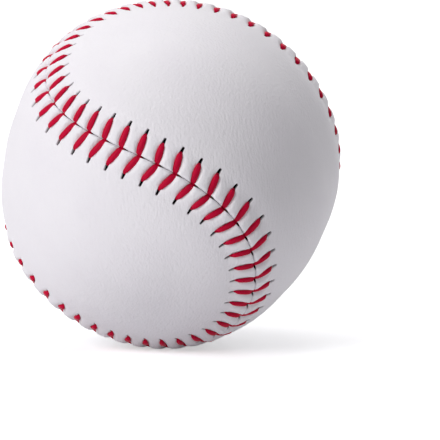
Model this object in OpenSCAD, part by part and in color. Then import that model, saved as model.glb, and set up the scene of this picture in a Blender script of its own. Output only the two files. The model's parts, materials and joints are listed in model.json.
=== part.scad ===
// Stitched leather softball, shown as its real layers: a pressed cork and rubber core, two windings of
// yarn, a latex coat, two alike figure-eight leather panels, and the waxed thread of each of the two needles.
// The origin is the centre of the ball.

/* [Ball] */
// Diameter over the leather, between the stitches
ball_d = 97; // [92:0.5:102]
// Thickness of the cover leather
leather_t = 1.7; // [1.6:0.1:2.2]
// Film of cement between the leather and the latex, left as a gap
cement_t = 0.1; // [0.05:0.05:0.3]
// Thickness of the dipped latex coat
latex_t = 0.5; // [0.3:0.1:1]
// Thickness of the outer winding of fine cotton yarn
outer_winding_t = 3.2; // [2:0.1:6]
// Thickness of the inner winding of coarse wool yarn
inner_winding_t = 5; // [3:0.1:8]

/* [Seam] */
// Width of a panel across its waist, measured along the surface
waist_w = 61; // [56:1:66]
// How much fuller a panel's lobes are than those of the plain seam curve
lobe_share = 0.022; // [0:0.002:0.03]

/* [Stitches] */
// Stitches round the whole seam, an even number
stitches = 88; // [80:2:96]
// Distance from the seam line to the outer end of each slit
slit_reach = 7.4; // [6.8:0.1:8]
// Length of each slit in the leather
slit_l = 2.1; // [1.6:0.1:2.6]
// How far the point of each V lies ahead of its two slits
stitch_lead = 1.3; // [0.8:0.1:1.8]
// How far the slits of one panel trail those of the other
slit_stagger = 0.6; // [0:0.1:1]

/* [Thread] */
// Widest part of a stitch on the leather
stitch_w = 1.9; // [1.5:0.1:2.2]
// Thickness of a stitch on the leather
stitch_t = 0.9; // [0.7:0.05:1.1]
// Thickness of the thread where it stands in its slit
thread_d = 0.8; // [0.6:0.05:0.9]
// Width of the thread where it is pinched in the seam
pinch_w = 1.2; // [0.9:0.1:1.4]
// Thickness of the thread where it is pinched in the seam and under the leather
pinch_t = 0.5; // [0.4:0.05:0.6]
// Clearance round the thread in its slit, in the seam and under the leather
thread_clearance = 0.1; // [0.06:0.01:0.12]

/* [Attitude] */
// Direction, round the vertical from +X, in which the reference point of the seam faces
turn = -113.2; // [-180:0.1:180]
// Angle by which that point is raised
tilt = 10.4; // [-90:0.1:90]
// Angle by which the ball is rolled about that point
roll = -112.6; // [-180:0.1:180]

/* [Hidden] */

// Fineness of the large spheres and of the round slit ends
sphere_fn = 120;
slit_fn = 24;

// Radii of the layers, from the outside in
ball_r = ball_d / 2;
flesh_r = ball_r - leather_t;
latex_r = flesh_r - cement_t;
outer_winding_r = latex_r - latex_t;
inner_winding_r = outer_winding_r - outer_winding_t;
core_r = inner_winding_r - inner_winding_t;

// Seam curve: a share of one turn and a share of three turns, with a little of five for the fuller lobes.
// The first share follows from the waist.
full_turn = 360;
quarter_turn = full_turn / 4;
waist_half_angle = waist_w / 2 / ball_r * full_turn / (2 * PI);
turn_share = (1 + sin(waist_half_angle - asin(lobe_share * cos(waist_half_angle)))) / 2;
curl_share = 1 - turn_share;
rise_share = 2 * sqrt(turn_share * curl_share);

function unit(v) = v / norm(v);
function arc_angle(l) = l / ball_r * full_turn / (2 * PI);
function seam_dir(t) = unit([
    turn_share * cos(t) + curl_share * cos(3 * t) - lobe_share * cos(5 * t),
    turn_share * sin(t) - curl_share * sin(3 * t) - lobe_share * sin(5 * t),
    rise_share * sin(2 * t)]);

// Table of the distance run along the seam against the curve's own angle
run_steps = 1440;
run_step = full_turn / run_steps;
run_table = [for (i = 0, run = 0; i <= run_steps;
    run = run + ball_r * norm(seam_dir((i + 1) * run_step) - seam_dir(i * run_step)), i = i + 1)
    [run, i * run_step]];
seam_l = run_table[run_steps][0];
pitch = seam_l / stitches;
function seam_angle(run) = lookup(run - seam_l * floor(run / seam_l), run_table);

// Directions at a point of the seam: outward, along the seam, and across it towards panel a
function along_dir(t) = unit(seam_dir(t + run_step) - seam_dir(t - run_step));
function across_dir(t) = cross(seam_dir(t), along_dir(t));

// The same at a distance aside of the seam, over the surface
function out_at(t, aside) = seam_dir(t) * cos(arc_angle(aside)) + across_dir(t) * sin(arc_angle(aside));
function across_at(t, aside) = across_dir(t) * cos(arc_angle(aside)) - seam_dir(t) * sin(arc_angle(aside));

// Slits: their width, how far aside the thread stands in them, and how far their cutter overruns the leather
slit_w = thread_d + 2 * thread_clearance;
thread_aside = slit_reach - slit_l + slit_w / 2;
slit_far = slit_reach - slit_w / 2;
cut_overrun = leather_t;

// Seam gap and the channel pared into the flesh side for the thread's under passes.
// An under pass runs straight, so its middle lies lower than its ends by the sag.
seam_gap = pinch_t + 2 * thread_clearance;
under_pass_l = norm([pitch, thread_aside]);
under_pass_sag = under_pass_l * under_pass_l / (8 * latex_r);
channel_r = latex_r + under_pass_sag + pinch_t + 2 * thread_clearance;
channel_reach = thread_aside + slit_w;

// The two needles' threads lie side by side where they go down in the seam
dive_shift = (pinch_w + thread_clearance) / 2;

// Edge points of a panel, and how far outside the ball the cutter's rim lies
edge_steps = 180;
rim_r = 2 * ball_r;
mouth_angle = 45;

// Wedge from the ball's centre out past the cover, over the whole of panel a less an inset along its edge
module panel_wedge(inset) {
    rim = [for (i = [0:edge_steps - 1])
        rim_r * out_at(i * full_turn / edge_steps - mouth_angle, inset)];
    centre = edge_steps;
    half = edge_steps / 2;
    sides = [for (i = [0:edge_steps - 1]) [centre, i, (i + 1) % edge_steps]];
    cap = [for (i = [1:half - 2]) [i, edge_steps - i, edge_steps - i - 1, i + 1]];
    ends = [[0, edge_steps - 1, 1], [half - 1, half + 1, half]];
    polyhedron(concat(rim, [[0, 0, 0]]), concat(sides, cap, ends));
}

// Puts its children at a distance along the seam and aside of it, with Z outward and Y away from the seam
module at_seam(run, aside) {
    t = seam_angle(run);
    x = along_dir(t);
    y = across_at(t, aside);
    z = out_at(t, aside);
    multmatrix([[x[0], y[0], z[0], 0], [x[1], y[1], z[1], 0], [x[2], y[2], z[2], 0]]) children();
}

// Cutter for one slit, a slot with round ends
module slit() {
    centres_apart = slit_far - thread_aside;
    translate([0, 0, flesh_r - cut_overrun])
        linear_extrude(leather_t + 2 * cut_overrun)
            union() {
                circle(d = slit_w, $fn = slit_fn);
                translate([0, centres_apart]) circle(d = slit_w, $fn = slit_fn);
                translate([-slit_w / 2, 0]) square([slit_w, centres_apart]);
            }
}

// Sphere whose poles lie on a horizontal or on the vertical axis
module poled_sphere(r, pole_turn) {
    rotate([0, pole_turn, 0]) sphere(r, $fn = sphere_fn);
}

// Channel pared into the flesh side, from the panel's edge to just past its slits
module channel(half_turn, pole_turn) {
    difference() {
        poled_sphere(channel_r, pole_turn);
        attitude(half_turn) panel_wedge(channel_reach);
    }
}

// One leather panel. The other is the same one after a half turn about the reference point. Each has its
// spheres' poles on the axis that its leather ends farthest from.
module panel(half_turn, pole_turn) {
    difference() {
        intersection() {
            poled_sphere(ball_r, pole_turn);
            attitude(half_turn) panel_wedge(seam_gap / 2);
        }
        poled_sphere(flesh_r, pole_turn);
        channel(half_turn, pole_turn);
        attitude(half_turn)
            for (i = [0:stitches - 1])
                at_seam(i * pitch + slit_stagger / 2, thread_aside) slit();
    }
}

// Flattened hexagon, the thread's section, as shares of its width and thickness
section_shares = [[0.5, 0], [0.25, 0.5], [-0.25, 0.5], [-0.5, 0], [-0.25, -0.5], [0.25, -0.5]];
sides = len(section_shares);

// Where on the way from slit to seam the two middle rings of a stitch lie, and the thread's width there
stitch_place_shares = [0.3, 0.68];
stitch_width_shares = [0.85, 1];

// One ring of the thread: its place along the seam and aside of it, its height over the leather, its width
// and thickness, and the direction of its thickness as parts across the seam and outward
function ring(run, aside, height, w, t, lean) =
    let (a = seam_angle(run), o = out_at(a, aside), c = across_at(a, aside), l = along_dir(a))
    [for (p = section_shares)
        (ball_r + height) * o + l * w * p[0] + (c * lean[0] + o * lean[1]) * t * p[1]];

under_height = channel_r - thread_clearance - pinch_t / 2 - ball_r;
function slit_run(i, side) = i * pitch + side * slit_stagger / 2;
function seam_run(i, side) = i * pitch + stitch_lead - side * dive_shift;
function mix(from, to, share) = from + (to - from) * share;

// The six rings of stitch i on one side: under its slit, over its slit, two on the leather, over the seam and
// in the seam below the leather. Side is 1 on panel a and -1 on panel b.
function stitch_rings(i, side) =
    let (from = slit_run(i, side), to = seam_run(i, side), aside = side * thread_aside)
    concat(
        [ring(from, aside, under_height, thread_d, pinch_t, [-1, side]),
         ring(from, aside, thread_clearance + thread_d / 2, thread_d, thread_d, [-1, -side])],
        [for (j = [0:1])
            ring(mix(from, to, stitch_place_shares[j]), mix(aside, 0, stitch_place_shares[j]),
                thread_clearance + stitch_t / 2, stitch_w * stitch_width_shares[j], stitch_t, [0, -side])],
        [ring(to, 0, thread_clearance + pinch_t / 2, pinch_w, pinch_t, [1, -side]),
         ring(to, 0, under_height, pinch_w, pinch_t, [1, -side])]);

// The thread's two ends meet under the leather of the first stitch's panel, a little apart
end_shares = [0.4, 0.6];
function tail_ring(side, share) =
    let (from = seam_run(stitches - 1, -side), to = slit_run(stitches, side), aside = side * thread_aside)
    ring(mix(from, to, share), mix(0, aside, share), under_height, thread_d, pinch_t, [0, side]);

// One needle's thread, from stitch to stitch round the whole seam, changing sides each time
module thread(first_side) {
    rings = concat(
        [tail_ring(first_side, end_shares[1])],
        [for (i = [0:stitches - 1]) each stitch_rings(i, i % 2 == 0 ? first_side : -first_side)],
        [tail_ring(first_side, end_shares[0])]);
    last = len(rings) - 1;
    skin = [for (i = [0:last - 1]) for (j = [0:sides - 1])
        let (k = (j + 1) % sides)
        each [[i * sides + j, i * sides + k, (i + 1) * sides + j],
              [i * sides + k, (i + 1) * sides + k, (i + 1) * sides + j]]];
    start_cap = [for (j = [0:sides - 1]) sides - 1 - j];
    end_cap = [for (j = [0:sides - 1]) last * sides + j];
    polyhedron([for (r = rings) each r], concat(skin, [start_cap, end_cap]));
}

// Turns the stitched cover to the attitude that it lies in. The reference point starts on +X.
module attitude(half_turn = 0) {
    rotate([0, -tilt, turn]) rotate([roll + half_turn, 0, 0]) children();
}

module layer(outer_r, inner_r) {
    difference() {
        sphere(outer_r, $fn = sphere_fn);
        sphere(inner_r, $fn = sphere_fn);
    }
}

module core() color("#8d6a45") sphere(core_r, $fn = sphere_fn);
module inner_winding() color("#b9b2a6") layer(inner_winding_r, core_r);
module outer_winding() color("#ece5d6") layer(outer_winding_r, inner_winding_r);
module latex_coat() color("#dcc894") layer(latex_r, outer_winding_r);
module cover_panel_a() color("#f1f0ef") panel(0, quarter_turn);
module cover_panel_b() color("#e4e3e4") panel(full_turn / 2, 0);
module first_needle_thread() color("#c3142f") attitude() thread(1);
module second_needle_thread() color("#a81028") attitude() thread(-1);

core();
inner_winding();
outer_winding();
latex_coat();
cover_panel_a();
cover_panel_b();
first_needle_thread();
second_needle_thread();
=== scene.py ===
# %% [markdown]
# # A stitched leather softball
#
# The real ball is a yarn-wound core under two figure-eight leather panels, which two needles lace
# together with thick crimson thread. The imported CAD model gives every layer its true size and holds
# the two threads' path. Here the two panels and the two threads get the forms that a rigid solid
# leaves out, such as the little pillows that the tight thread draws up between the stitches, and
# every layer gets its finish.
#
# Lengths are written in millimetres and multiplied by MM, because Blender works in metres.

import json
import math

import bpy
import numpy as np
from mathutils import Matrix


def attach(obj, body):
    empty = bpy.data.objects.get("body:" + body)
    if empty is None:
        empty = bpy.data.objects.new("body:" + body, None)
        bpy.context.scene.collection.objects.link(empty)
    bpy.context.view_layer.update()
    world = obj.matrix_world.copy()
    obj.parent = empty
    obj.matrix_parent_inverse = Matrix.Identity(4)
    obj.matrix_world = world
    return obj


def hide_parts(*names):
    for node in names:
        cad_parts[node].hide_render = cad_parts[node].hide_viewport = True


MM = 0.001

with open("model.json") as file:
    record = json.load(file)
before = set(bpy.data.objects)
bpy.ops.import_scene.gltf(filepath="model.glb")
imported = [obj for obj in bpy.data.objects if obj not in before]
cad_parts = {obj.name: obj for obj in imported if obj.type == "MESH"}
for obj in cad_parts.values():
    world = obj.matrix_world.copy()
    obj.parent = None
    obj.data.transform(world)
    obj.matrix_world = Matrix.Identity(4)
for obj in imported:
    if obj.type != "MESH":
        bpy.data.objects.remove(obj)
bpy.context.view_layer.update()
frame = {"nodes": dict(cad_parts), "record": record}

# %% [markdown]
# ## The camera
#
# The photograph looks nearly level at the ball and shows it left of the middle and a little high. A
# long lens gives the flat perspective of a product shot. The camera isn't shifted: it simply looks
# past the ball, by the angles that put the ball's middle where the photograph has it.

# %% Place and aim the camera
IMAGE_PX = 440
ball_middle_px = (168.9, 174.4)
ball_r = -frame["record"]["mounts"][0]["pos_m"][2]
camera_distance = 15 * ball_r
camera_azimuth = math.radians(-11.8)
camera_elevation = math.radians(4.6)
SENSOR_MM = 36
lens_mm = 209.1

focal_px = lens_mm / SENSOR_MM * IMAGE_PX
look_right = math.atan((IMAGE_PX / 2 - ball_middle_px[0]) / focal_px)
look_down = math.atan((IMAGE_PX / 2 - ball_middle_px[1]) / focal_px)

bpy.ops.object.camera_add(
    location=(
        camera_distance * math.cos(camera_elevation) * math.sin(camera_azimuth),
        -camera_distance * math.cos(camera_elevation) * math.cos(camera_azimuth),
        camera_distance * math.sin(camera_elevation),
    ),
    rotation=(
        math.radians(90) - camera_elevation - look_down,
        0,
        camera_azimuth - look_right,
    ),
)
camera = bpy.context.object
camera.name = "photo_camera"
camera.data.sensor_width = SENSOR_MM
camera.data.lens = lens_mm
bpy.context.scene.camera = camera
print("camera", round(camera_distance / MM), "mm from the ball, lens", lens_mm, "mm")

# %% [markdown]
# ## The seam as a formula
#
# The seam of such a ball is one closed curve on a sphere. It is drawn by adding a slow turn and a
# turn three times as fast the other way, and pushing the sum out to the sphere. The CAD source uses
# the same formula. Distances along the seam are looked up in a table that this cell measures by
# itself. On the real ball the panels are stretched by hand, so its seam strays from such a line, in
# places by almost a centimetre. These pulls are added last, as a few soft shifts, so that the formula
# stays the one of the solids.

# %% The seam curve and its length
waist_w = 61 * MM
lobe_share = 0.022
stitches = 88
turn_deg, tilt_deg, roll_deg = -113.2, 10.4, -112.6
SEAM_STEPS = 14400

waist_half_angle = waist_w / 2 / ball_r
turn_share = (1 + math.sin(waist_half_angle - math.asin(lobe_share * math.cos(waist_half_angle)))) / 2
curl_share = 1 - turn_share
rise_share = 2 * math.sqrt(turn_share * curl_share)


def unit(v):
    return v / np.linalg.norm(v, axis=-1, keepdims=True)


def seam_dir(t):
    x = turn_share * np.cos(t) + curl_share * np.cos(3 * t) - lobe_share * np.cos(5 * t)
    y = turn_share * np.sin(t) - curl_share * np.sin(3 * t) - lobe_share * np.sin(5 * t)
    return unit(np.stack([x, y, rise_share * np.sin(2 * t)], axis=-1))


t_table = np.linspace(0, 2 * math.pi, SEAM_STEPS + 1)
table_steps = np.linalg.norm(np.diff(seam_dir(t_table), axis=0), axis=1)
run_table = ball_r * np.concatenate([[0], np.cumsum(table_steps)])
seam_l = run_table[-1]
pitch = seam_l / stitches
print("seam", round(seam_l / MM, 1), "mm long, a stitch every", round(pitch / MM, 2), "mm")

# %% From places along and aside of the seam to places on the ball


def turn_about(axis, degrees):
    a = math.radians(degrees)
    i, j = [k for k in range(3) if k != axis]
    m = np.eye(3)
    m[i, i] = m[j, j] = math.cos(a)
    sign = -1 if axis == 1 else 1
    m[i, j], m[j, i] = -sign * math.sin(a), sign * math.sin(a)
    return m


attitude = turn_about(2, turn_deg) @ turn_about(1, -tilt_deg) @ turn_about(0, roll_deg)


def seam_frame(run):
    """Directions out of the ball, along the seam and across it, at a run along the seam."""
    t = np.interp(run % seam_l, run_table, t_table)
    step = t_table[1]
    out = seam_dir(t)
    along = unit(seam_dir(t + step) - seam_dir(t - step))
    return out, along, np.cross(out, along)


# %% Where the stretched seam strays from the formula's line
# Each pull: its stitch, how many stitches it reaches, and how far it moves the seam along and aside
pulls = (
    (-18, 6.5, -1.2 * MM, 8.5 * MM),
    (2, 6, 0, 0.6 * MM),
    (13, 4, -1.9 * MM, -0.2 * MM),
    (26, 6.5, -1.6 * MM, -9.5 * MM),
)


def strayed(run, aside):
    stitch = (run / pitch + stitches / 2) % stitches - stitches / 2
    for at, reach, along, across in pulls:
        share = np.exp(-((stitch - at) / reach) ** 2)
        run, aside = run + along * share, aside + across * share
    return run, aside


def on_ball(run, aside, height):
    """Points a run along the seam, aside of it (positive on panel a) and a height over the ball."""
    run, aside = strayed(run, aside)
    out, along, across = seam_frame(run)
    angle = (aside / ball_r)[..., None]
    direction = out * np.cos(angle) + across * np.sin(angle)
    return (direction * (ball_r + height)[..., None]) @ attitude.T


print("the seam strays by up to", max(abs(pull[3]) for pull in pulls) / MM, "mm aside")

# %% [markdown]
# ## The leather's forms
#
# A panel is cut from hide about 1.7 mm thick, wetted, and stretched over the winding. Three forms
# show in it:
#
# * Over the seam, where the edges are drawn together over the thread's hidden runs, the ball swells.
#   In the panels' middles the leather lies flatter, so the outline isn't a true circle.
# * Under each stitch the thread presses a groove, and between two stitches the leather rises like a
#   small pillow, which rolls down into the seam.
# * The awl has opened a slit for every stitch. It stays open past the thread's end and looks black.
#
# Bump could draw these, but the outline would stay round and the thread would not lie in a groove.
# They are written as heights over the ball, and the mesh is laid to them.

# %% Small helpers for such heights


def smooth_step(low, high, x):
    s = np.clip((x - low) / (high - low), 0, 1)
    return s * s * (3 - 2 * s)


def rolled_edge(width, x):
    """Rises from 0 to 1 like a quarter of a circle."""
    return np.sqrt(1 - (1 - np.clip(x / width, 0, 1)) ** 2)


def phase_from(run, start):
    """How far a run lies past the nearest copy of start, one copy every pitch."""
    return (run - start + pitch / 2) % pitch - pitch / 2


# %% The swell over the seam
seam_rise, middle_drop = 0.1 * MM, 1.6 * MM
swell_full, swell_end = 7 * MM, 24 * MM


def swell(aside):
    return seam_rise - (seam_rise + middle_drop) * smooth_step(swell_full, swell_end, np.abs(aside))


# %% Grooves, pillows and slits
leather_t = 1.7 * MM
thread_aside = 5.8 * MM
slit_stagger = 0.6 * MM
stitch_lead = 1.3 * MM
slit_near, slit_far = 5.5 * MM, 7.2 * MM
slit_near_half_w, slit_far_half_w = 0.5 * MM, 0.4 * MM
slit_depth, slit_wall = 0.85 * MM, 0.1 * MM
pillow_h, groove_depth = 1.2 * MM, 0.2 * MM
pillow_roll = 0.6 * MM
pillow_fade, pillow_end = 1.2 * MM, 7.4 * MM
groove_asides = np.array([0, 1, 2.5, 5.8, 8]) * MM
groove_half_ws = np.array([0.88, 1.05, 1.28, 1.05, 0.65]) * MM
groove_power = 3.2


def leather_relief(run, aside, side):
    """Heights over the swell, and how far a place lies inside a slit, from 0 to 1."""
    slit_run = side * slit_stagger / 2
    lean = (stitch_lead - slit_run) * np.clip(1 - aside / thread_aside, 0, 1)
    from_stitch = phase_from(run, slit_run + lean)
    groove_half_w = np.interp(aside, groove_asides, groove_half_ws)
    pressed = np.exp(-np.abs(from_stitch / groove_half_w) ** groove_power)
    reach = rolled_edge(pillow_roll, aside) * (1 - smooth_step(pillow_fade, pillow_end, aside))
    height = reach * (pillow_h * (1 - pressed) - groove_depth * pressed)

    nearest = np.clip(aside, slit_near, slit_far)
    narrowing = (nearest - slit_near) / (slit_far - slit_near)
    half_w = slit_near_half_w + (slit_far_half_w - slit_near_half_w) * narrowing
    to_slit = np.hypot(phase_from(run, slit_run), aside - nearest) - half_w
    in_slit = 1 - smooth_step(-slit_wall, 0, to_slit)
    return height * (1 - in_slit) - slit_depth * in_slit, in_slit


# %% The seam's gap, which opens past the point of each stitch
gap_closed, gap_open = 0.03 * MM, 0.3 * MM
gap_from, gap_full, gap_fade, gap_to = -0.7 * MM, -0.2 * MM, 0.6 * MM, 2.5 * MM


def seam_gap(run):
    past_point = phase_from(run, stitch_lead)
    opening = smooth_step(gap_from, gap_full, past_point)
    closing = smooth_step(gap_fade, gap_to, past_point)
    return gap_closed + (gap_open - gap_closed) * (opening * (1 - closing))


# %% [markdown]
# ## Stitches that aren't quite even
#
# The slits are punched and laced by hand, so no two lie quite alike. Every slit gets a small shift of
# its own, which fades out towards the seam and towards the next slit. Leather and thread are both
# moved by the same rule, so the thread still comes out of its slit and lies in its groove.

# %% A shift for every slit
run_wander, aside_wander = 0.14 * MM, 0.26 * MM
shift_from, shift_full, shift_fade, shift_to = 0.4 * MM, 5 * MM, 12 * MM, 18 * MM
shift_half_w = 1.3 * MM

rng = np.random.default_rng(5)
slit_shifts = {side: rng.uniform(-1, 1, (stitches, 2)) * (run_wander, aside_wander) for side in (1, -1)}


def stitched_by_hand(run, aside, side):
    """Run and aside, moved with the nearest slit on that side."""
    slit_run = side * slit_stagger / 2
    nearest = np.floor((run - slit_run) / pitch + 0.5).astype(int) % stitches
    from_slit = np.abs(phase_from(run, slit_run))
    share = smooth_step(shift_from, shift_full, aside) * (1 - smooth_step(shift_fade, shift_to, aside))
    share = share * (1 - smooth_step(shift_half_w, pitch / 2, from_slit))
    shift = slit_shifts[side][nearest]
    return run + share * shift[..., 0], aside + share * shift[..., 1]


print("slits are shifted by up to", run_wander / MM, "mm along and", aside_wander / MM, "mm aside")

# %% [markdown]
# ## The leather panels
#
# No primitive has the outline of a figure eight, so a flat grid is added with one column of faces
# after another along the seam, and code then lays it round the ball: each vertex's column is a place
# along the seam and its row a place aside of it. The columns crowd together at the slits, and the
# rows at the seam's edge and the slits' ends. Two more grids close the panel's middle: the outer one
# goes on with the swell, by each place's distance from the seam, and the inner one is the smooth
# flesh side. Merging the doubles makes one closed skin of the three.

# %% Columns and rows of the leather's edge
near_slit = [-0.8, -0.59, -0.5, -0.4, -0.28, -0.1, 0.1, 0.28, 0.4, 0.5, 0.59, 0.8]
between = 6
slit_columns = np.array(near_slit) * MM
gap_columns = np.linspace(slit_columns[-1], pitch + slit_columns[0], between + 2)[1:-1]
stitch_columns = np.concatenate([slit_columns, gap_columns])
columns = stitches * len(stitch_columns)

# The band runs from the flesh side, round the edge in the seam, and out over the leather. Each row is an
# aside and a height, in millimetres.
flesh_rows = [(20, -1.7), (16, -1.7), (12, -1.7), (7.6, -1.7), (7.4, -0.93), (3.7, -0.93)]
edge_rows = [(0, -0.93), (0, -0.55), (0, -0.3), (0.02, -0.12), (0.07, -0.04), (0.16, -0.01)]
pillow_rows = [0.32, 0.65, 1.2, 1.9, 2.6, 3.2, 3.8, 4.4]
slit_rows = [4.78, 4.95, 5.05, 5.18, 5.4, 5.75, 6.15, 6.55, 6.95, 7.25, 7.42, 7.53, 7.61, 7.72]
smooth_rows = [8, 8.6, 9.5, 11, 12.5, 14.2, 16.5, 20]
top_rows = pillow_rows + slit_rows + smooth_rows
band_rows = np.array(flesh_rows + edge_rows + [(aside, 0) for aside in top_rows]) * MM
print("leather band:", columns, "columns,", len(band_rows), "rows")

# %% A helper that adds a grid and lays its vertices where it is told


def laid_grid(name, places):
    """A grid primitive whose vertex in column i and row j is moved to places[i, j]."""
    count_i, count_j = places.shape[:2]
    bpy.ops.object.select_all(action="DESELECT")
    bpy.ops.mesh.primitive_grid_add(x_subdivisions=count_i - 1, y_subdivisions=count_j - 1, size=1)
    grid = bpy.context.object
    grid.name = grid.data.name = name
    flat = vertex_places(grid)
    i = np.rint((flat[:, 0] + 0.5) * (count_i - 1)).astype(int)
    j = np.rint((flat[:, 1] + 0.5) * (count_j - 1)).astype(int)
    grid.data.vertices.foreach_set("co", places[i, j].ravel())
    grid.data.update()
    return grid, i, j


def vertex_places(piece):
    flat = np.empty(len(piece.data.vertices) * 3)
    piece.data.vertices.foreach_get("co", flat)
    return flat.reshape(-1, 3)


# %% Helpers that keep painted shade for deep places and join parts into one skin
MERGE = 0.5e-3 * MM


def set_shade(piece, values):
    """Keeps one number per vertex as the attribute that the finish reads as deep shade."""
    shade = piece.data.attributes.new("deep_shade", "FLOAT", "POINT")
    shade.data.foreach_set("value", values)


def joined(name, parts):
    """Joins the parts, merges their doubles and turns every face outwards."""
    bpy.ops.object.select_all(action="DESELECT")
    for part in parts:
        part.select_set(True)
    bpy.context.view_layer.objects.active = parts[0]
    bpy.ops.object.join()
    piece = bpy.context.object
    piece.name = piece.data.name = name
    bpy.ops.object.mode_set(mode="EDIT")
    bpy.ops.mesh.select_all(action="SELECT")
    bpy.ops.mesh.remove_doubles(threshold=MERGE)
    bpy.ops.mesh.normals_make_consistent(inside=False)
    bpy.ops.object.mode_set(mode="OBJECT")
    bpy.ops.object.shade_smooth()
    return piece


# %% Lay the band along one panel's edge
gap_reach = 0.6 * MM
shade_from, shade_full = 0.15 * MM, 0.5 * MM


def panel_band(name, side):
    slit_run = side * slit_stagger / 2
    # The columns start at one of the panel's two tips, which lie an eighth of the seam from its start
    tip_run = -side * seam_l / 8
    column_runs = np.concatenate([k * pitch + slit_run + stitch_columns for k in range(stitches)])
    from_tip = (column_runs - tip_run + seam_l / 2) % seam_l - seam_l / 2
    first = np.argmin(np.abs(from_tip))
    column_runs = np.concatenate([column_runs[first:], column_runs[:first] + seam_l])
    column_runs = np.concatenate([column_runs, column_runs[:1] + seam_l])
    run, aside = np.meshgrid(column_runs, band_rows[:, 0], indexing="ij")
    depth = np.broadcast_to(band_rows[:, 1], run.shape)

    outer = np.arange(len(band_rows)) >= len(flesh_rows)
    top = np.arange(len(band_rows)) > len(flesh_rows)
    aside = aside + seam_gap(run) * np.clip(1 - aside / gap_reach, 0, 1) * outer
    relief, in_slit = leather_relief(run, aside, side)
    height = depth + (relief + swell(aside)) * top
    # Painted shade: the slits and the edge's way down into the seam's gap are marked to be drawn near
    # black, where shade falls
    shade = np.maximum(in_slit, smooth_step(shade_from, shade_full, -depth)) * outer
    run, moved_aside = stitched_by_hand(run, aside, side)
    places = on_ball(run, side * np.where(outer, moved_aside, aside), height)
    band, i, j = laid_grid(name, places)
    set_shade(band, shade[i, j])
    return band, places


# %% Close the panel's middle, outside and inside
outer_segments, inner_segments = 16, 8
OUTER_ROW, INNER_ROW = -1, 0
SAMPLES_PER_STITCH = 8
SAME_PLACE = 1e-6


def from_seam(direction):
    """How far a place in this direction lies from the seam."""
    samples = SAMPLES_PER_STITCH * stitches
    seam_points = on_ball(np.arange(samples) * seam_l / samples, np.zeros(samples), np.zeros(samples))
    nearest = (direction @ unit(seam_points).T).max(axis=-1)
    return ball_r * np.arccos(np.clip(nearest, -1, 1))


def spread_across(first, second, count):
    """Directions along great arcs, from each point of first to the same point of second."""
    a, b = unit(first), unit(second)
    angle = np.arccos(np.clip((a * b).sum(-1, keepdims=True), -1, 1))
    # At the panel's two tips both points are one place, and no arc leads from it to itself
    same = angle[:, 0] < SAME_PLACE
    sin_angle = np.where(same[:, None], 1, np.sin(angle))[:, None]
    share = np.linspace(0, 1, count + 1)[None, :, None]
    arc = np.sin((1 - share) * angle[:, None]) * a[:, None] + np.sin(share * angle[:, None]) * b[:, None]
    arc = arc / sin_angle
    arc[same] = a[same][:, None]
    return unit(arc)


def middle_radius(direction, row):
    """The outer side follows the swell, and the flesh side is a plain sphere."""
    if row == OUTER_ROW:
        return ball_r + swell(from_seam(direction))
    return np.full(direction.shape[:2], ball_r - leather_t)


def model_panel(name, side):
    band, places = panel_band(name + "_band", side)
    parts = [band]
    half = columns // 2
    for row, count in ((OUTER_ROW, outer_segments), (INNER_ROW, inner_segments)):
        ahead = places[np.arange(half + 1) % columns, row]
        behind = places[-np.arange(half + 1) % columns, row]
        direction = spread_across(ahead, behind, count)
        r = middle_radius(direction, row)
        # What little the radius misses of the rim's own is spread over the way across
        share = np.linspace(0, 1, count + 1)
        missed_ahead = np.linalg.norm(ahead, axis=1) - r[:, 0]
        missed_behind = np.linalg.norm(behind, axis=1) - r[:, -1]
        r = r + missed_ahead[:, None] * (1 - share) + missed_behind[:, None] * share
        middle = laid_grid(name + "_middle", direction * r[..., None])[0]
        set_shade(middle, np.zeros(len(middle.data.vertices)))
        parts.append(middle)
    return joined(name, parts)


# %% Model both panels in place of the CAD ones
panels = []
for panel_name, cad_name, panel_side in (
    ("cover_leather_a", "cover_panel_a", 1),
    ("cover_leather_b", "cover_panel_b", -1),
):
    panel = model_panel(panel_name, panel_side)
    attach(panel, "root")
    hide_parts(cad_name)
    panels.append(panel)
    print(panel_name, len(panel.data.polygons), "faces")

# %% [markdown]
# ## The thread
#
# Each needle's thread is thick waxed thread. It comes up through a slit, lies over the leather to the
# seam, where it is widest, dives between the panels, and runs back under the leather to the next slit
# on the other side. A curve with a round bevel would give it one thickness everywhere. So one stitch
# is modelled flat, as by hand: a circle of eight vertices is extruded from place to place and resized
# and turned at each. The copies are then laid along the seam, and their ends merge into one thread.

# %% Places along one stitch
pinch_shift = 0.22 * MM
under_h = -1.27 * MM
RING = 8


def stitch_stations(side):
    """Where the thread passes, as run, aside and height, and its width, thickness and lean there."""
    start = side * slit_stagger / 2
    point = stitch_lead - side * pinch_shift
    next_slit = pitch - side * slit_stagger / 2

    def on_way(share):
        return start + (point - start) * share, thread_aside * (1 - share)

    # Up out of the slit
    stations = [
        (start, thread_aside, under_h, 0.8 * MM, 0.5 * MM, 45),
        (start, thread_aside, -0.45 * MM, 0.85 * MM, 0.7 * MM, 90),
        (*on_way(0.02), 0.16 * MM, 0.95 * MM, 0.74 * MM, 130),
    ]
    # Over the leather: share of the way, height, width and thickness
    for share, height, width, thickness in (
        (0.12, 0.38, 1.42, 0.84),
        (0.28, 0.48, 1.7, 0.92),
        (0.5, 0.49, 1.84, 0.94),
        (0.72, 0.44, 1.88, 0.92),
        (0.89, 0.3, 1.84, 0.86),
    ):
        stations.append((*on_way(share), height * MM, width * MM, thickness * MM, 180))
    # Down into the seam, and back under the leather to the other side's next slit
    stations += [
        (*on_way(0.985), 0.06 * MM, 1.7 * MM, 0.66 * MM, 212),
        (point, -0.06 * MM, -0.3 * MM, 1.5 * MM, 0.44 * MM, 248),
        (point, 0, -0.7 * MM, 1.1 * MM, 0.3 * MM, 270),
        (point + pinch_shift, 0, under_h, 1 * MM, 0.4 * MM, 225),
        (next_slit, -thread_aside, under_h, 0.8 * MM, 0.5 * MM, 135),
    ]
    return stations


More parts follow.
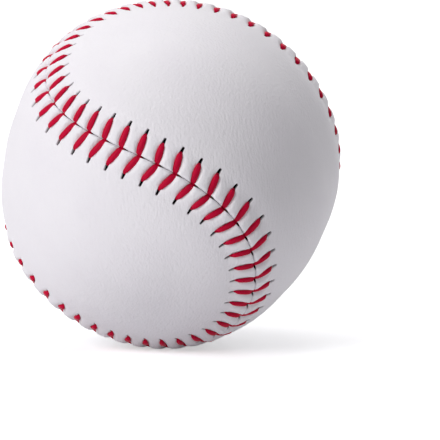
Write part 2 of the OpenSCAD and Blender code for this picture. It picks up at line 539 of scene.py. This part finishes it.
# %% Model one stitch by extruding a ring from place to place
FLAT_LEAN = 270


def turn_ring(degrees, middle):
    """Turns what is selected about X. With no window the operator turns backwards, hence the sign."""
    bpy.ops.transform.rotate(value=-math.radians(degrees), orient_axis="X", center_override=middle)


def model_stitch(side):
    stations = stitch_stations(side)
    run, aside, height, width, thickness, lean = stations[0]
    bpy.ops.object.select_all(action="DESELECT")
    # The circle is one across and lies flat, so a resize by width and thickness gives the ring its size
    bpy.ops.mesh.primitive_circle_add(vertices=RING, radius=0.5, location=(run, aside, height))
    stitch = bpy.context.object
    bpy.ops.object.transform_apply(location=True)
    bpy.ops.object.mode_set(mode="EDIT")
    bpy.ops.mesh.select_all(action="SELECT")
    bpy.ops.transform.resize(value=(width, thickness, 1), center_override=(run, aside, height))
    turn_ring(FLAT_LEAN - lean, (run, aside, height))
    for new in stations[1:]:
        move = [new[k] - (run, aside, height)[k] for k in range(3)]
        bpy.ops.mesh.extrude_region_move(TRANSFORM_OT_translate={"value": move})
        bpy.ops.transform.resize(
            value=(new[3] / width, new[4] / thickness, new[4] / thickness), center_override=new[:3])
        turn_ring(lean - new[5], new[:3])
        run, aside, height, width, thickness, lean = new
    # Extrude lists its new faces in an order that changes from run to run, so they are put in one order
    bpy.ops.mesh.select_all(action="SELECT")
    bpy.ops.mesh.sort_elements(type="CURSOR_DISTANCE", elements={"FACE"})
    bpy.ops.object.mode_set(mode="OBJECT")
    return stitch


stitch_models = {side: model_stitch(side) for side in (1, -1)}
print("one stitch:", len(stitch_models[1].data.polygons), "faces")

# %% Give the stitch a map of its own, once round in u and in millimetres along in v


def map_thread(stitch):
    middles = vertex_places(stitch).reshape(-1, RING, 3).mean(axis=1)
    along = np.concatenate([[0], np.cumsum(np.linalg.norm(np.diff(middles, axis=0), axis=1))])
    uv = stitch.data.uv_layers.new(name="round_and_along")
    for face in stitch.data.polygons:
        turns = [stitch.data.loops[k].vertex_index % RING for k in face.loop_indices]
        wraps = max(turns) - min(turns) > 1
        for k, turn in zip(face.loop_indices, turns):
            ring = stitch.data.loops[k].vertex_index // RING
            uv.data[k].uv = ((turn + RING * (wraps and turn == 0)) / RING, along[ring] / MM)


for stitch in stitch_models.values():
    map_thread(stitch)

# %% Lay a copy at every stitch, changing sides each time, and merge the ends


def lay_stitch(name, model, k, side):
    run, aside, height = vertex_places(model).T
    run = run + k * pitch
    own = stitched_by_hand(run, aside, side)
    other = stitched_by_hand(run, -aside, -side)
    run = np.where(aside > 0, own[0], other[0])
    aside = np.where(aside > 0, own[1], -other[1])
    mesh = model.data.copy()
    mesh.vertices.foreach_set("co", on_ball(run, side * aside, height).ravel())
    copy = bpy.data.objects.new(name, mesh)
    bpy.context.collection.objects.link(copy)
    return copy


def lay_thread(name, first_side):
    sides = [first_side if k % 2 == 0 else -first_side for k in range(stitches)]
    return joined(name, [lay_stitch(name, stitch_models[side], k, side) for k, side in enumerate(sides)])


threads = []
for thread_name, cad_name, first_side in (
    ("crimson_thread_first", "first_needle_thread", 1),
    ("crimson_thread_second", "second_needle_thread", -1),
):
    thread = lay_thread(thread_name, first_side)
    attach(thread, "root")
    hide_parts(cad_name)
    threads.append(thread)
    print(thread_name, len(thread.data.polygons), "faces")
for stitch in stitch_models.values():
    bpy.data.objects.remove(stitch)

# %% [markdown]
# ## Finishes
#
# Every finish is procedural: colour, roughness and relief come from nodes on the object's own
# coordinates, or on the thread's own map. Colours are written as sRGB hex values, as a picture editor
# shows them, and one function turns them to the linear values that Blender's sockets take.

# %% Helpers for the finishes
# A Mix node holds a pair of inputs for every kind of value. These are the places of its colours.
MIX_FIRST, MIX_SECOND, MIX_RESULT = 6, 7, 2


def linear(hex_colour, alpha=1.0):
    """The linear colour of an sRGB hex value, by the sRGB rule."""
    values = [int(hex_colour[i:i + 2], 16) / 255 for i in (1, 3, 5)]
    return (*[v / 12.92 if v <= 0.04045 else ((v + 0.055) / 1.055) ** 2.4 for v in values], alpha)


def add_node(material, kind, settings=None, links=None):
    """Adds a node, sets its properties and its inputs, by name or number, and links sockets into it."""
    node = material.node_tree.nodes.new(kind)
    for key, value in (settings or {}).items():
        if isinstance(key, int) or key in node.inputs:
            node.inputs[key].default_value = value
        else:
            setattr(node, key, value)
    for key, socket in (links or {}).items():
        material.node_tree.links.new(socket, node.inputs[key])
    return node


def new_material(name, **settings):
    material = bpy.data.materials.new(name)
    material.use_nodes = True
    surface = material.node_tree.nodes["Principled BSDF"]
    for key, value in settings.items():
        surface.inputs[key.replace("_", " ")].default_value = value
    return material, surface


# %% Helpers for what every finish has: two tones, a relief and an uneven roughness


def mixed(material, share, first, second):
    """The colour that goes from first to second with the share. Each may be a colour or a socket."""
    node = add_node(material, "ShaderNodeMix", {"data_type": "RGBA"}, {"Factor": share})
    for place, colour in ((MIX_FIRST, first), (MIX_SECOND, second)):
        if isinstance(colour, tuple):
            node.inputs[place].default_value = colour
        else:
            material.node_tree.links.new(colour, node.inputs[place])
    return node.outputs[MIX_RESULT]


def bumped(material, height, depth, strength):
    """The normals of a surface that a height of 1 lifts by depth."""
    bump = add_node(
        material, "ShaderNodeBump", {"Strength": strength, "Distance": depth}, {"Height": height})
    return bump.outputs["Normal"]


def ranged(material, share, low, high):
    """A value that goes from low to high with the share."""
    spread = add_node(material, "ShaderNodeMapRange", {"To Min": low, "To Max": high}, {"Value": share})
    return spread.outputs["Result"]


def dress(surface, colour, normal, roughness):
    """Links the three into the surface."""
    for key, socket in (("Base Color", colour), ("Normal", normal), ("Roughness", roughness)):
        surface.id_data.links.new(socket, surface.inputs[key])


def put_on(pieces, material):
    for piece in pieces:
        piece.data.materials.clear()
        piece.data.materials.append(material)


# %% [markdown]
# ### White leather
#
# The cover is cowhide, tanned white right through and finished with a thin matt coat. It gives a
# soft, low sheen, faint fine lines of the hide, and small pores. The open slits and the seam's gap are
# so deep that no light comes back from them, so the attribute that was kept with the mesh paints shade
# into them, near black.

# %% White leather
leather, surface = new_material("white_tanned_cowhide", IOR=1.45)
object_place = add_node(leather, "ShaderNodeTexCoord").outputs["Object"]
deep = add_node(leather, "ShaderNodeAttribute", {"attribute_name": "deep_shade"}).outputs["Fac"]

# Grain: pores of about 0.6 mm, and the hide's fine drawn lines, 0.7 mm wide and four times as long
pore_w, pore_share = 0.6 * MM, 0.35
line_w, line_stretch, line_tilt = 0.7 * MM, 4, math.radians(-12)
pores = add_node(
    leather, "ShaderNodeTexVoronoi",
    {"feature": "SMOOTH_F1", "Scale": 1 / pore_w, "Smoothness": 0.6}, {"Vector": object_place})
lines_place = add_node(
    leather, "ShaderNodeMapping", {"Rotation": (0, line_tilt, 0), "Scale": (1, 1, 1 / line_stretch)},
    {"Vector": object_place})
lines = add_node(
    leather, "ShaderNodeTexNoise", {"Scale": 1 / line_w, "Detail": 1.0},
    {"Vector": lines_place.outputs["Vector"]})
grain = add_node(
    leather, "ShaderNodeMath", {"operation": "MULTIPLY_ADD", 1: pore_share},
    {0: pores.outputs["Distance"], 2: lines.outputs["Fac"]})

# Colour: a cool white a little uneven over centimetres, and painted shade, near black, where an opening
# is deep
cloud_w = 14 * MM
cloudy = add_node(
    leather, "ShaderNodeTexNoise", {"Scale": 1 / cloud_w, "Detail": 2.0}, {"Vector": object_place})
hide = mixed(leather, cloudy.outputs["Fac"], linear("#efebf1"), linear("#f4f1f5"))
dress(
    surface,
    mixed(leather, deep, hide, linear("#060405")),
    bumped(leather, grain.outputs["Value"], 0.15 * MM, 0.8),
    ranged(leather, lines.outputs["Fac"], 0.46, 0.62),
)
sheen = ranged(leather, deep, 0.5, 0.0)
leather.node_tree.links.new(sheen, surface.inputs["Specular IOR Level"])
put_on(panels, leather)
print("leather on", len(panels), "panels")

# %% [markdown]
# ### Waxed crimson thread
#
# The thread is dyed cotton, drawn through wax. The wax lays the fibres flat and fills them, so the
# thread is deep in colour, with only a weak, broad sheen and faint lines of fibre along it.

# %% Waxed crimson thread
waxed, surface = new_material("waxed_crimson_cotton", IOR=1.4, Specular_IOR_Level=0.1)
round_and_along = add_node(waxed, "ShaderNodeUVMap", {"uv_map": "round_and_along"}).outputs["UV"]

# Ten bundles of fibres lie side by side round the thread, each about 3 mm long, with a slight twist
bundles_round, bundles_per_mm, twist_angle = 10, 0.35, math.radians(4)
twist = add_node(
    waxed, "ShaderNodeMapping",
    {"Rotation": (0, 0, twist_angle), "Scale": (bundles_round, bundles_per_mm, 1)},
    {"Vector": round_and_along})
fibres = add_node(
    waxed, "ShaderNodeTexNoise", {"Scale": 1.0, "Detail": 3.0, "Roughness": 0.65},
    {"Vector": twist.outputs["Vector"]}).outputs["Fac"]
dress(
    surface,
    mixed(waxed, fibres, linear("#960526"), linear("#e60e41")),
    bumped(waxed, fibres, 0.12 * MM, 0.5),
    ranged(waxed, fibres, 0.62, 0.42),
)
put_on(threads, waxed)
print("wax and dye on", len(threads), "threads")

# %% [markdown]
# ### The layers inside
#
# Under the leather lie dipped latex, fine cotton yarn, coarse wool yarn and a pressed core of cork
# granules in rubber. None of them shows on the closed ball, so the CAD solids are kept as they are
# and get their finish, for anyone who opens the model.

# %% Pressed cork and rubber
# The finish shows angular grains of cork in several browns, each sunk a little between dull ridges
granule_w = 2.5 * MM
core_mix, surface = new_material("pressed_cork_and_rubber")
object_place = add_node(core_mix, "ShaderNodeTexCoord").outputs["Object"]
granules = add_node(core_mix, "ShaderNodeTexVoronoi", {"Scale": 1 / granule_w}, {"Vector": object_place})
dress(
    surface,
    mixed(core_mix, granules.outputs["Color"], linear("#5b3f28"), linear("#b98d5c")),
    bumped(core_mix, granules.outputs["Distance"], 0.3 * MM, 0.6),
    ranged(core_mix, granules.outputs["Distance"], 0.75, 0.95),
)

# %% Wound yarn
# The finish shows turn beside turn of dry, matt yarn, with painted shade darkening the valleys between
# them
RINGS_PER_SCALE = 0.31


def yarn_material(name, dark, light, yarn_w):
    """A winding whose turns are about yarn_w wide."""
    yarn, surface = new_material(name)
    place = add_node(yarn, "ShaderNodeTexCoord").outputs["Object"]
    turns = add_node(
        yarn, "ShaderNodeTexWave",
        {
            "wave_type": "RINGS",
            "rings_direction": "Z",
            "Scale": RINGS_PER_SCALE / yarn_w,
            "Distortion": 4.0,
            "Detail": 2.0,
        },
        {"Vector": place}).outputs["Fac"]
    # Painted shade: the waves that lift the turns also darken the colour in the valleys between them
    dress(
        surface,
        mixed(yarn, turns, linear(dark), linear(light)),
        bumped(yarn, turns, yarn_w / 2, 0.8),
        ranged(yarn, turns, 0.95, 0.8),
    )
    return yarn


# %% Dipped latex
# The finish shows a thin honey-coloured skin that has run a little, so it is smoother in some places
run_w = 6 * MM
latex, surface = new_material("dipped_latex", IOR=1.52)
object_place = add_node(latex, "ShaderNodeTexCoord").outputs["Object"]
runs = add_node(
    latex, "ShaderNodeTexNoise", {"Scale": 1 / run_w, "Detail": 3.0},
    {"Vector": object_place}).outputs["Fac"]
dress(
    surface,
    mixed(latex, runs, linear("#c9ad74"), linear("#e3cf9f")),
    bumped(latex, runs, 0.2 * MM, 0.4),
    ranged(latex, runs, 0.3, 0.46),
)

# %% Put the inner finishes on the CAD solids
inner_finishes = {
    "core": core_mix,
    "inner_winding": yarn_material("coarse_grey_wool_yarn", "#6f6a62", "#b5aea2", 1.2 * MM),
    "outer_winding": yarn_material("fine_cotton_yarn", "#b8ab90", "#ece3cf", 0.6 * MM),
    "latex_coat": latex,
}
for node_name, finish in inner_finishes.items():
    put_on([frame["nodes"][node_name]], finish)
print("inner layers finished:", ", ".join(inner_finishes))

# %% [markdown]
# ## White floor, backdrop and light
#
# The photograph's background is pure white. More light would bleach the ball as well, so the paper
# floor glows only towards the camera, in reflections and through glass: to all other rays it is plain
# pale paper, which still takes the ball's shadow. Near the ball the glow is weaker, so that the
# shadow shows. A large lamp lights the ball from the left, a second fills it from above, and a weak
# one behind it on the right keeps that edge clear.

# %% White paper floor
FLOOR_W = 60
glow_near, glow_far = 0.1, 1.2

floor_z = min(float(vertex_places(piece)[:, 2].min()) for piece in panels + threads)
bpy.ops.object.select_all(action="DESELECT")
bpy.ops.mesh.primitive_plane_add(size=FLOOR_W, location=(0, 0, floor_z))
bpy.ops.object.transform_apply(location=True)
floor = bpy.context.object
floor.name = "studio_floor"


def seen_directly(material):
    """1 for the rays that show a backdrop: those of the camera, of reflections and through glass."""
    rays = add_node(material, "ShaderNodeLightPath")
    either = add_node(
        material, "ShaderNodeMath", {"operation": "MAXIMUM"},
        {0: rays.outputs["Is Camera Ray"], 1: rays.outputs["Is Glossy Ray"]})
    return add_node(
        material, "ShaderNodeMath", {"operation": "MAXIMUM"},
        {0: either.outputs[0], 1: rays.outputs["Is Transmission Ray"]}).outputs[0]


paper, surface = new_material("white_paper", Roughness=0.9)
surface.inputs["Base Color"].default_value = linear("#eeeef0")
surface.inputs["Emission Color"].default_value = (1, 1, 1, 1)
object_place = add_node(paper, "ShaderNodeTexCoord").outputs["Object"]
away = add_node(paper, "ShaderNodeVectorMath", {"operation": "LENGTH"}, {0: object_place})
brightness = add_node(
    paper, "ShaderNodeMapRange",
    {"From Min": glow_near, "From Max": glow_far, "To Min": 0.5, "To Max": 1.0},
    {"Value": away.outputs["Value"]})
glow = add_node(
    paper, "ShaderNodeMath", {"operation": "MULTIPLY"},
    {0: seen_directly(paper), 1: brightness.outputs["Result"]})
paper.node_tree.links.new(glow.outputs[0], surface.inputs["Emission Strength"])
floor.data.materials.append(paper)
print("floor at", round(floor_z / MM, 2), "mm")

# %% Soft light from all round
world = bpy.data.worlds.new("studio")
bpy.context.scene.world = world
world.use_nodes = True
background = world.node_tree.nodes["Background"]
dim_light, white_backdrop = (0.1, 0.1, 0.102, 1), (1, 1, 1, 1)
sky = mixed(world, seen_directly(world), dim_light, white_backdrop)
world.node_tree.links.new(sky, background.inputs["Color"])

# %% Three large lamps, aimed at the ball


def add_lamp(name, azimuth, elevation, distance, size, power):
    a, e = math.radians(azimuth), math.radians(elevation)
    away = np.array([math.sin(a) * math.cos(e), -math.cos(a) * math.cos(e), math.sin(e)])
    bpy.ops.object.light_add(
        type="AREA", location=tuple(away * distance), rotation=(math.radians(90) - e, 0, a))
    lamp = bpy.context.object
    lamp.name = name
    lamp.data.size = size
    lamp.data.energy = power


add_lamp("left_lamp", azimuth=-60, elevation=30, distance=1.3, size=0.7, power=10.6)
add_lamp("top_lamp", azimuth=180, elevation=75, distance=1.3, size=1.0, power=7.5)
add_lamp("back_right_lamp", azimuth=120, elevation=40, distance=1.3, size=0.9, power=3)

# %% [markdown]
# ## Finish
#
# The Standard view transform shows every colour as it was written.

# %% Finish with the Standard view transform
scene = bpy.context.scene
scene.view_settings.view_transform = "Standard"
